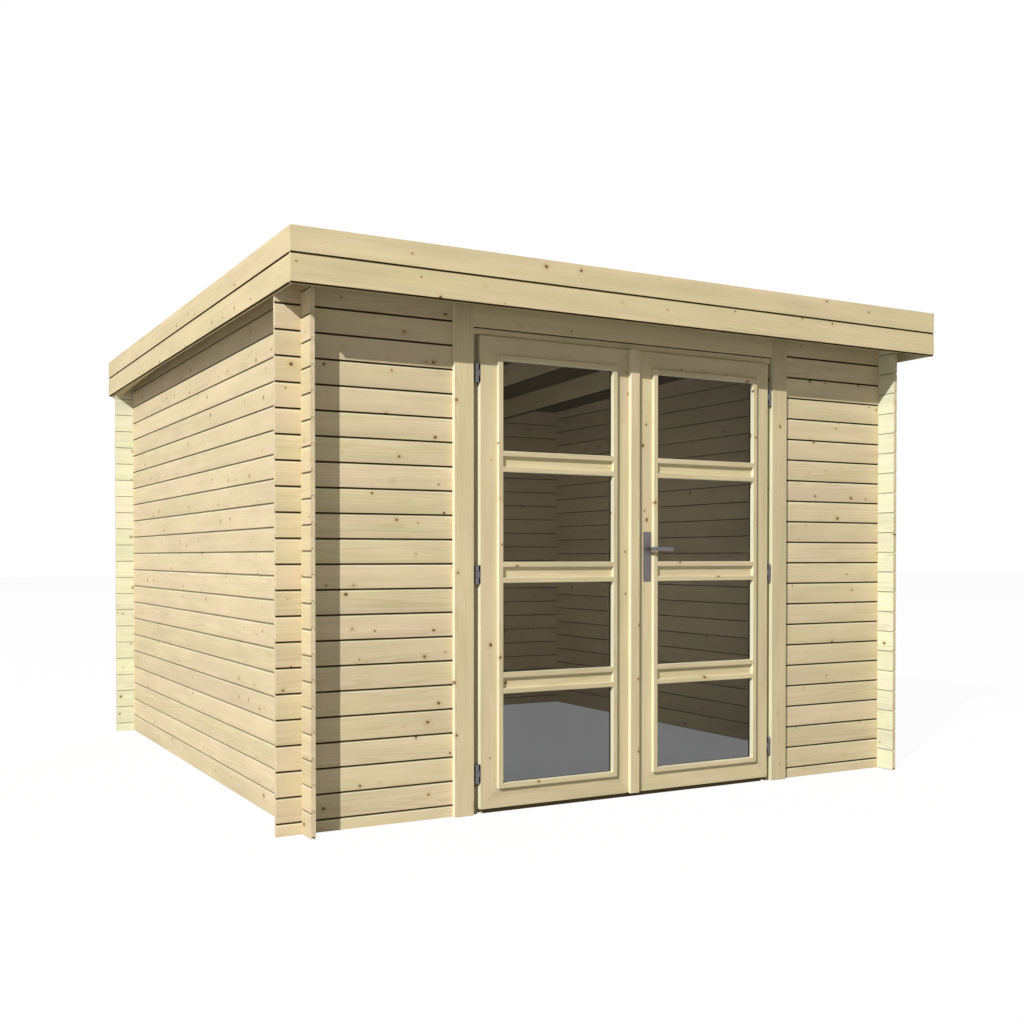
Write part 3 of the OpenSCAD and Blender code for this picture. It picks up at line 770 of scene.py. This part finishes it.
def build_felt_nails():
    """Clout nails through the laps and the edges of the felt."""
    nails = Metal("roof_felt_nails")
    head = ((4.6 * MM, 0.0), (4.4 * MM, 0.7 * MM), (2.6 * MM, 1.3 * MM))
    under_head = FELT_TOP - 0.3 * MM
    edge_h = 1.9 * MM

    def row(count, inset, length):
        """Evenly spaced places from inset to length less inset."""
        return [inset + i * (length - 2 * inset) / (count - 1) for i in range(count)]

    def nail(point, up=ROOF_NORMAL):
        nails.turned(facing(point, up), head, 8)

    for k in range(FELT_STRIPS - 1):
        s = DECK_END - FELT_SHOWS * (FELT_STRIPS - 1 - k) - 28 * MM
        for x in row(31, 0.06, 2 * DECK_X):
            nail(on_roof(x - DECK_X, s, under_head + LAP_H))
    for side in (-1, 1):
        for s in row(23, 0.07, DECK_END - DECK_TOP):
            nail(on_roof(side * (DECK_X - 26 * MM), DECK_TOP + s, under_head + edge_h))
    _, rear = BOX["rear_eaves_board"]
    for x in row(27, 0.07, 2 * DECK_X):
        nail(Vector((x - DECK_X, rear.y + edge_h, rear.z - 24 * MM)), EY)
        nail(on_roof(x - DECK_X, DECK_TOP + 26 * MM, under_head + edge_h))
    nails.finish(STEEL, "shed", "satin_steel", smooth=False)


def build_roof_timbers():
    """Beams and battens, parallel to the roof and below its boards."""
    def sloped(node, wood=ROOF_WOOD, under_stain=0.0, across=False):
        lo, hi = BOX[node]
        piece = Timber(node + "_timber")
        s0, s1 = ((y - FRONT_Y) / math.cos(SLOPE) for y in (lo.y, hi.y))
        height = (hi.z - lo.z - (hi.y - lo.y) * math.tan(SLOPE)) * math.cos(SLOPE)
        if across:
            outline = rounded(s1 - s0, height, 1.5 * MM)
            piece.board(outline, lo.x, hi.x, axes(on_roof(0, s0, -height), EX, ROOF_DOWN, ROOF_NORMAL),
                        flat_axis=1)
        else:
            # Painted shade on the lowest face
            outline = [(a, b, under_stain if b < 1e-6 else 0.0, pale)
                       for a, b, _, pale in rounded(hi.x - lo.x, height, 2.5 * MM)]
            piece.board(outline, s0, s1, axes(on_roof(hi.x, 0, -height), ROOF_DOWN, -EX, ROOF_NORMAL),
                        flat_axis=1)
        piece.finish(wood, "shed", "roof_timber", node)

    for i in (1, 2, 3, 4):
        # Painted shade on the beams' undersides
        sloped(f"roof_beam_{i}", BOARD_WOOD, 0.92)
    for node in ("left_batten", "right_batten"):
        sloped(node)
    for node in ("front_batten", "rear_batten"):
        sloped(node, across=True)


def build_fascia():
    t, r = FASCIA_T, BOARD_R
    for side in ("front", "left", "right"):
        for row in ("lower", "upper"):
            node = f"{side}_fascia_{row}"
            lo, hi = BOX[node]
            h = hi.z - lo.z
            # Section: a from the outer face inward, b up
            # Painted shade darkens the rebate along the bottom edge, and on the lower board also the groove
            # at its top
            lip = LIP if row == "upper" else LIP + GROOVE_FLOOR
            section = [(0, r + lip, 0, 0), (0.3 * MM, lip + 0.3 * MM, 0.1, 0), (r, lip, 0.8, 0),
                       (GROOVE_D, lip, 1, 0), (GROOVE_D, 0, 1, 0), (GROOVE_D + 1 * MM, 0, 0.5, 0),
                       (t - r, 0, 0, 1), (t, r, 0, 1), (t, h - r, 0, 1), (t - r, h, 0, 1)]
            if row == "lower":
                top = h + LIP - GROOVE_H
                section += [(GROOVE_D, h, 1, 0), *groove_floor(h), (ARRIS, top + ARRIS, 0.4, 0),
                            (0, top - 0.4 * MM, 0, 0)]
            else:
                section += [(r, h, 0, 0), (0, h - r, 0, 0)]
            run, place = {
                "front": (X, axes((0, lo.y, lo.z), EX, EY, EZ)),
                "left": (Y, axes((lo.x, 0, lo.z), EY, EX, EZ)),
                "right": (Y, axes((hi.x, 0, lo.z), EY, -EX, EZ)),
            }[side]
            board = Timber(node + "_board")
            board.board(section, lo[run], hi[run], place, flat_axis=1)
            board.finish(BOARD_WOOD, "shed", "spruce_boards", node)
    plank("rear_eaves_board_plank", "rear_eaves_board", X, BOARD_WOOD, "spruce_boards")


# ---------- door
def build_door_frame():
    for side, node in ((-1, "door_post_left"), (1, "door_post_right")):
        lo, hi = BOX[node]
        width, depth, r = hi.x - lo.x, hi.y - lo.y, BOARD_R
        section = [(r, 0), (width - REBATE_X, 0), (width - REBATE_X, REBATE_Y), (width - r, REBATE_Y),
                   (width, REBATE_Y + r), (width, depth - r), (width - r, depth), (0, depth), (0, r)]
        # Painted shade: the front face lies deep in the gap beside the leaf, in the shade of the trim and the
        # leaf, and is darkened
        section = [(a, b, GAP_SHADE if b < 1e-6 else 0.0, 1.0 if b > REBATE_Y + 2 * r else 0.0)
                   for a, b in section]
        outer = hi.x if side > 0 else lo.x
        post = Timber(node + "_jamb")
        post.board(section, lo.z, hi.z, axes((outer, lo.y, 0), EZ, EX * -side, EY))
        post.finish(JOINERY_WOOD, "shed", "spruce_joinery", node)

    lo, hi = BOX["door_head"]
    head = Timber("door_head_rail")
    stop_x = high("door_threshold", X)
    post_top = high("door_post_left", Z)
    # Painted light: the rail's lighter tone offsets the shade cast on it by the head board and the eaves
    head.box_board(Vector((lo.x, lo.y, post_top)), hi, X, 1 * MM, value=3.5)
    head.box_board(Vector((-stop_x, lo.y + REBATE_Y, lo.z)), Vector((stop_x, hi.y, post_top + 0.3 * MM)), X,
                   1 * MM)
    head.finish(JOINERY_WOOD, "shed", "spruce_joinery", "door_head")

    lo, hi = BOX["door_threshold"]
    depth, r = hi.y - lo.y, 1.5 * MM
    section = [(0, 0), (depth, 0), (depth, hi.z - r), (depth - r, hi.z), (REBATE_Y + r, hi.z),
               (REBATE_Y, hi.z - r), (REBATE_Y, SILL_STEP_Z), (r, SILL_STEP_Z), (0, SILL_STEP_Z - r)]
    sill = Timber("door_sill")
    # Painted shade: the whole sill is darkened to stand for the deep shade beneath the leaves
    sill.board([(a, b, 0.8, 0) for a, b in section], lo.x, hi.x, axes((0, lo.y, 0), EX, EY, EZ))
    sill.finish(ROOF_WOOD, "shed", "spruce_joinery", "door_threshold")

    for node in ("door_trim_left", "door_trim_right"):
        plank(node + "_board", node, Z, JOINERY_WOOD, radii=(1.6 * MM, 1.6 * MM, 0.5 * MM, 0.5 * MM),
              steps=3, pale_edges=1.0)
    # Painted shade along the lowest face and its rounded front corner, and a lighter tone as painted light in
    # the shade of the eaves
    plank("door_head_plank", "door_head_board", X, JOINERY_WOOD, radii=(4 * MM, BOARD_R, BOARD_R, BOARD_R),
          steps=4, under=1.0, value=2.4)

    trim = Timber("inner_trim_boards")
    lo, hi = BOX["inner_door_trim"]
    split = high("door_head", Z)
    for x0, x1 in ((lo.x, -POST_X), (POST_X, hi.x)):
        trim.box_board(Vector((x0, lo.y, lo.z)), Vector((x1, hi.y, split - 1 * MM)), Z, 2 * MM, pale=0.6)
    trim.box_board(Vector((lo.x, lo.y, split)), hi, X, 2 * MM, pale=0.6)
    trim.finish(JOINERY_WOOD, "shed", "spruce_joinery", "inner_door_trim")


def build_leaf(side):
    """A leaf with its glazing beads. Opening sizes are read from the bead node."""
    lo, hi = BOX[f"{side}_leaf_frame"]
    b_lo, b_hi = BOX[f"{side}_leaf_beads"]
    pitch = (b_hi.z - b_lo.z + BAR_H) / PANES
    rows = [(b_lo.z + i * pitch, b_lo.z + (i + 1) * pitch - BAR_H) for i in range(PANES)]
    body = f"{side}_leaf"
    leaf = Timber(f"{side}_leaf_woodwork")
    open0, open1 = b_lo.x + BEAD_W, b_hi.x - BEAD_W
    open_low, open_high = rows[0][0] + BEAD_W, rows[-1][1] - BEAD_W
    soft, crisp, inside = 1.4 * MM, 0.7 * MM, 21 * MM

    def mitre(x_way, z_way, part):
        """Cut at an inner corner of the leaf, for the stile (part 1) or the rail (part -1)."""
        normal = Vector((x_way, 0, -z_way)).normalized() * part
        corner = Vector((open0 if x_way > 0 else open1, 0, open_low if z_way > 0 else open_high))
        return corner - normal * MITRE_GAP / 2, normal

    # Stiles run the full height and are mitred; radii: from the front left corner round
    leaf.box_board(lo, Vector((open0, hi.y, hi.z)), Z, pale_edges=1.0,
                   radii=(soft, crisp, inside, soft), steps=3, cuts=(mitre(1, 1, 1), mitre(1, -1, 1)))
    leaf.box_board(Vector((open1, lo.y, lo.z)), hi, Z, pale_edges=1.0,
                   radii=(crisp, soft, soft, inside), steps=3, cuts=(mitre(-1, 1, 1), mitre(-1, -1, 1)))
    bars = [(lo.z, open_low, soft, crisp)]
    bars += [(r0[1] - BEAD_W, r1[0] + BEAD_W, crisp, crisp) for r0, r1 in zip(rows, rows[1:])]
    bars.append((open_high, hi.z, crisp, soft))
    for z0, z1, r_low, r_high in bars:
        back_low, back_high = (inside if r == crisp else soft for r in (r_low, r_high))
        section = rounded(z1 - z0, hi.y - lo.y, steps=3, radii=(back_low, back_high, r_high, r_low))
        place = axes((0, hi.y, z0), EX, EZ, -EY)
        if r_low == r_high:
            leaf.board(section, open0 - 0.2 * MM, open1 + 0.2 * MM, place, e=0.2 * MM, pale_edges=1.0)
        else:
            z_way = 1 if r_low == soft else -1
            leaf.board(section, lo.x, hi.x, place, pale_edges=1.0,
                       cuts=(mitre(1, z_way, -1), mitre(-1, z_way, -1)))
    leaf.finish(JOINERY_WOOD, body, "spruce_joinery", f"{side}_leaf_frame")

    beads = Timber(f"{side}_leaf_glazing_beads")
    round_r = 2.2 * MM
    look = {"value": 0.3, "pale_edges": 1.0}
    for x0 in (b_lo.x, b_hi.x - BEAD_W):
        beads.box_board(Vector((x0, b_lo.y, b_lo.z)), Vector((x0 + BEAD_W, b_hi.y, b_hi.z)), Z,
                        radii=(round_r, round_r, 0, 0), steps=4, e=1.0 * MM, **look)
    section = rounded(BEAD_W, b_hi.y - b_lo.y, steps=4, radii=(0, 0, round_r, round_r))
    for z0, z1 in rows:
        for z in (z0, z1 - BEAD_W):
            beads.board(section, open0 - 1 * MM, open1 + 1 * MM, axes((0, b_hi.y, z), EX, EZ, -EY),
                        e=0.3 * MM, **look)
    beads.finish(JOINERY_WOOD, body, "spruce_joinery", f"{side}_leaf_beads")


def dress_glass():
    for side in ("left", "right"):
        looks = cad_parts[f"{side}_leaf_glass"].data.materials
        looks.clear()
        looks.append(GLASS)


# ---------- metalwork
def build_hinges():
    """Three hinges a leaf, worked out for the right leaf and mirrored for the left."""
    lo, hi = BOX["frame_hinges_right"]
    pin_x, pin_y = hi.x - HINGE_R, lo.y + HINGE_R
    leaf_x, leaf_y = high("right_leaf_frame", X), low("right_leaf_frame", Y)
    door_mid = (low("right_leaf_frame", Z) + high("right_leaf_frame", Z)) / 2
    height = 3 * KNUCKLE
    arris = 0.5 * MM

    for side, sign in (("right", 1), ("left", -1)):
        flip = Matrix.Diagonal((sign, 1, 1, 1))
        fixed = Metal(f"frame_hinge_plates_{side}")
        moving = Metal(f"{side}_leaf_hinge_plates")
        for z0 in (lo.z, door_mid - MID_HINGE_DROP - height / 2, hi.z - height):
            spine = flip @ Matrix.Translation((pin_x, pin_y, 0))
            for k, part in ((0, fixed), (1, moving), (2, fixed)):
                a = z0 + k * KNUCKLE + (KNUCKLE_GAP if k == 2 else 0)
                b = z0 + (k + 1) * KNUCKLE - (KNUCKLE_GAP if k < 2 else 0)
                part.turned(spine, ((HINGE_R - arris, a), (HINGE_R, a + arris), (HINGE_R, b - arris),
                                    (HINGE_R - arris, b)), 24)
                # Web from the knuckle to the plate
                reach = pin_x - (lo.x if part is fixed else leaf_x - PLATE_T)
                part.slab(ring_outline(reach, b - a, 0.6 * MM, 2), PLATE_T,
                          flip @ axes((pin_x - reach, pin_y - HINGE_R + PLATE_T, a), EX, EZ, -EY))
            top = z0 + height
            fixed.turned(spine, ((PIN_R * 0.6, z0 - PIN_TIP), (PIN_R, z0 - PIN_TIP * 0.3),
                                 (PIN_R, top + PIN_TIP * 0.3), (PIN_R * 0.6, top + PIN_TIP)), 16)
            # Plates with rounded corners on the post and on the leaf's edge
            fixed.slab(ring_outline(height, hi.y - lo.y, PLATE_R), PLATE_T,
                       flip @ axes((lo.x + PLATE_T, lo.y, z0), EZ, EY, -EX))
            moving.slab(ring_outline(height, LEAF_WING, PLATE_R), PLATE_T,
                        flip @ axes((leaf_x, leaf_y, z0), EZ, EY, -EX))
            for k in range(3):
                z = z0 + (k + 0.5) * KNUCKLE
                shift = 6 * MM if k == 1 else 0
                fixed.screw(flip @ Vector((lo.x, hi.y - 9 * MM - shift, z)), EX * -sign)
                moving.screw(flip @ Vector((leaf_x, leaf_y + 15 * MM + shift / 3, z)), EX * sign)
        fixed.finish(STEEL, "shed", "satin_steel", f"frame_hinges_{side}")
        moving.finish(STEEL, f"{side}_leaf", "satin_steel", f"{side}_leaf_hinges")


def build_handle_plate(node, out, cx, cz):
    """A handle plate with a hole for the spindle and a keyhole. out is -1 outside and 1 inside."""
    lo, hi = BOX[node]
    plate = Metal(node + "_pressed")
    bm = plate.bm
    w, h, t = hi.x - lo.x, hi.z - lo.z, hi.y - lo.y
    face_y, back_y = (lo.y, hi.y) if out < 0 else (hi.y, lo.y)
    hole_z, key_z = cz - lo.z, cz - KEY_DROP - lo.z
    hole = arc(w / 2, hole_z, SPINDLE_HOLE_R, 0, math.tau, 24)[:-1]
    slot_w = KEY_R / 2
    start = math.asin(slot_w / KEY_R)
    key = arc(w / 2, key_z, KEY_R, start - math.pi / 2, math.tau - 2 * start, 16)
    key += [(w / 2 - slot_w, key_z - KEY_LEG), (w / 2 + slot_w, key_z - KEY_LEG)]

    def at(q, deep):
        return bm.verts.new(Vector((lo.x + q[0], face_y - out * deep, lo.z + q[1])))

    fronts, backs = [], []
    for points, edge in ((ring_outline(w, h, 5 * MM), 0.9 * MM), (hole, -0.3 * MM), (key, -0.3 * MM)):
        rings = [[at(q, deep) for q in outline]
                 for outline, deep in ((shrunk(points, edge), 0), (points, abs(edge)), (points, t))]
        plate.bridge(rings, caps=False)
        fronts.append(rings[0])
        backs.append(rings[-1])
    for loops in (fronts, backs):
        edges = [bm.edges.get((ring[i - 1], ring[i])) for ring in loops for i in range(len(ring))]
        bmesh.ops.triangle_fill(bm, edges=edges, use_beauty=True)
    for z in (lo.z + 11 * MM, hi.z - 11 * MM):
        plate.screw(Vector((cx, face_y, z)), EY * out, 4 * MM)
    plate.finish(STEEL, "right_leaf", "satin_steel", node)

    # Lock body behind the keyhole, so that the hole is dark but not empty
    barrel = Metal(node.replace("plate", "lock"))
    place = Matrix.Translation((cx, back_y - out * 1.2 * MM, lo.z + key_z))
    barrel.turned(place @ Matrix.Rotation(math.pi / 2, 4, "X"),
                  ((0, 0), (5.5 * MM, 0), (5.5 * MM, 1 * MM), (0, 1 * MM)), 16)
    barrel.finish(DARK_STEEL, "right_leaf", "satin_steel")


def lever_path(out, tip_y, plate_y, cx, cz, end_x):
    """Points along a lever from its plate, each with how flat the lever is there."""
    arm_y = tip_y - out * GRIP_T / 2
    bend_x, bend_y = cx + LEVER_BEND, arm_y - out * LEVER_BEND
    path = [(cx, plate_y - out * 4 * MM, 0.0)]
    path += [(cx, plate_y + (bend_y - plate_y) * f, f * 0.25) for f in (0.2, 0.55, 0.8)]
    for i in range(9):
        ang = math.pi / 2 * i / 8
        path.append((bend_x - LEVER_BEND * math.cos(ang), bend_y + out * LEVER_BEND * math.sin(ang),
                     0.25 + 0.75 * i / 8))
    path += [(bend_x + (end_x - bend_x - 3 * MM) * f, arm_y, 1.0) for f in (0.25, 0.6, 0.9)]
    path += [(end_x - 1.6 * MM, arm_y, 1.0), (end_x, arm_y, 1.0)]
    return [(Vector((x, y, cz)), flat) for x, y, flat in path]


def build_handle():
    lever_lo, lever_hi = BOX["door_lever"]
    cx = lever_lo.x + SPINDLE_R
    cz = (lever_lo.z + lever_hi.z) / 2
    neck = SPINDLE_R - 0.4 * MM
    circle = arc(0, 0, 1, 0, math.tau, 28)[:-1]
    lever = Metal("door_lever_pair")
    for node, out, tip_y in (("outer_handle_plate", -1, lever_lo.y), ("inner_handle_plate", 1, lever_hi.y)):
        build_handle_plate(node, out, cx, cz)
        plate_y = BOX[node][0 if out < 0 else 1].y
        # A round neck that turns into a flat grip
        path = lever_path(out, tip_y, plate_y, cx, cz, lever_hi.x - GRIP_SHORT)
        rings = []
        for i, (centre, flat) in enumerate(path):
            before, after = path[max(i - 1, 0)][0], path[min(i + 1, len(path) - 1)][0]
            across = (after - before).normalized().cross(EZ).normalized()
            end_r = 1.4 * MM if i == len(path) - 1 else 0.0
            half_z = neck * (1 - flat) + GRIP_W / 2 * flat - end_r
            half_t = neck * (1 - flat) + GRIP_T / 2 * flat - end_r
            power = 1.0 + (0.38 - 1.0) * flat
            bent = [[math.copysign(abs(c) ** power, c) for c in q] for q in circle]
            rings.append(lever.ring(Matrix(), [centre + across * half_t * c + EZ * half_z * d
                                               for c, d in bent]))
        lever.bridge(rings)
        # Collar against the plate
        lever.turned(facing(Vector((cx, plate_y + out * 0.3 * MM, cz)), EY * out),
                     ((SPINDLE_R, 0), (9.6 * MM, 0), (9.6 * MM, 2.6 * MM), (9.0 * MM, 3.2 * MM),
                      (SPINDLE_R, 3.4 * MM)), 32)
    lever.finish(STEEL, "lever", "satin_steel", "door_lever")


build_walls()
build_deck()
build_felt()
build_felt_nails()
build_roof_timbers()
build_fascia()
build_door_frame()
for leaf_side in ("left", "right"):
    build_leaf(leaf_side)
plank("cover_strip_batten", "cover_strip", Z, JOINERY_WOOD, body="left_leaf",
      radii=(1.8 * MM, 1.8 * MM, 0, 0), steps=3, pale_edges=1.0)
build_hinges()
build_handle()
dress_glass()


# ---------- floor, light and camera
FLOOR_HALF = 60.0
FLOOR_BOUNCE = 0.40
FLOOR_SHADOW = 0.05
ROOM_BOUNCE = 0.06
WORLD_LIGHT = 0.33
KEY_LIGHT = 4.15
KEY_DISTANCE = 50.0
BACK_LIGHT = 2.1
ROOM_LIGHT = 31.0


def seen_directly(g):
    """1 for rays from the camera, from gloss and through glass, 0 for the light on the object."""
    path = g.node("ShaderNodeLightPath")
    seen = g.math("MAXIMUM", path.outputs["Is Camera Ray"], path.outputs["Is Glossy Ray"])
    return g.math("MAXIMUM", seen, path.outputs["Is Transmission Ray"])


def grey(value):
    return value, value, value * 0.985, 1


def floor_material():
    """White with a faint shadow where it is seen. It throws back less light inside the shed."""
    material, g, surface = bare_material("pale_floor")
    x, y, _ = g.split(g.node("ShaderNodeNewGeometry").outputs["Position"])
    mid_y, half_y = (FRONT_Y + REAR_Y) / 2, (REAR_Y - FRONT_Y) / 2
    in_x = g.math("LESS_THAN", g.math("ABSOLUTE", x), SIDE_X)
    in_y = g.math("LESS_THAN", g.math("ABSOLUTE", g.math("SUBTRACT", y, mid_y)), half_y)
    bounce = g.mix(g.mul(in_x, in_y), grey(FLOOR_BOUNCE), grey(ROOM_BOUNCE))
    plain = g.filled("ShaderNodeBsdfDiffuse", (bounce,))
    shadow = g.filled("ShaderNodeBsdfDiffuse", ((0.95, 0.95, 0.95, 1),))
    white = g.filled("ShaderNodeEmission", {"Strength": 1.0})
    soft = g.mix_shader(1 - FLOOR_SHADOW, shadow.outputs[0], white.outputs[0])
    g.put(surface, g.mix_shader(seen_directly(g), plain.outputs[0], soft))
    return material


floor_mesh = bpy.data.meshes.new("studio_floor")
floor_corners = [(x * FLOOR_HALF, y * FLOOR_HALF, 0) for x, y in ((-1, -1), (1, -1), (1, 1), (-1, 1))]
floor_mesh.from_pydata(floor_corners, [], [(0, 1, 2, 3)])
floor_mesh.materials.append(floor_material())
studio_floor = new_object("studio_floor", floor_mesh)

world = bpy.data.worlds.new("studio")
bpy.context.scene.world = world
world.use_nodes = True
world.node_tree.nodes.clear()
wg = Graph(world.node_tree)
brightness = wg.mad(seen_directly(wg), 1 - WORLD_LIGHT, WORLD_LIGHT)
background = wg.filled("ShaderNodeBackground", {"Color": (1, 1, 1, 1), "Strength": brightness})
wg.put(wg.node("ShaderNodeOutputWorld").inputs["Surface"], background.outputs[0])


def lamp(name, kind, place, aim, energy, **settings):
    data = bpy.data.lights.new(name, kind)
    data.energy = energy
    for key, value in settings.items():
        setattr(data, key, value)
    made = new_object(name, data)
    made.location = place
    made.rotation_euler = Vector(aim).to_track_quat("-Z", "Y").to_euler()
    made.visible_camera = made.visible_glossy = False


# The key lamp is far enough away to light like the sun. The fill reaches the sides away from the
# camera, and the room lamp the walls that show through the glass.
key_way = Vector((1.335, 1.0, -1.0)).normalized()
key_place = Vector((-SIDE_X, FRONT_Y, 1.0)) - key_way * KEY_DISTANCE
lamp("key_lamp", "POINT", key_place, key_way, KEY_LIGHT * 4 * math.pi * KEY_DISTANCE ** 2,
     shadow_soft_size=0.3)
lamp("back_fill", "SUN", (0, 0, 4), (-0.75, -1.0, -0.12), BACK_LIGHT, angle=math.radians(25))
lamp("room_lamp", "AREA", (-0.75, -0.8, 0.95), (0.85, 0.85, -0.02), ROOM_LIGHT, shape="DISK", size=0.9,
     spread=math.radians(125))

camera_data = bpy.data.cameras.new("photo_camera")
camera_data.lens = 41.91
camera_data.sensor_width = 36.0
camera_data.shift_y = 0.0605
camera_data.clip_end = 300.0
camera = new_object("photo_camera", camera_data)
camera.location = (-2.901, -5.677, 1.023)
camera.rotation_euler = (math.radians(90 - 0.817), 0.0, -0.5035)
bpy.context.scene.camera = camera
bpy.context.scene.view_settings.view_transform = "Standard"
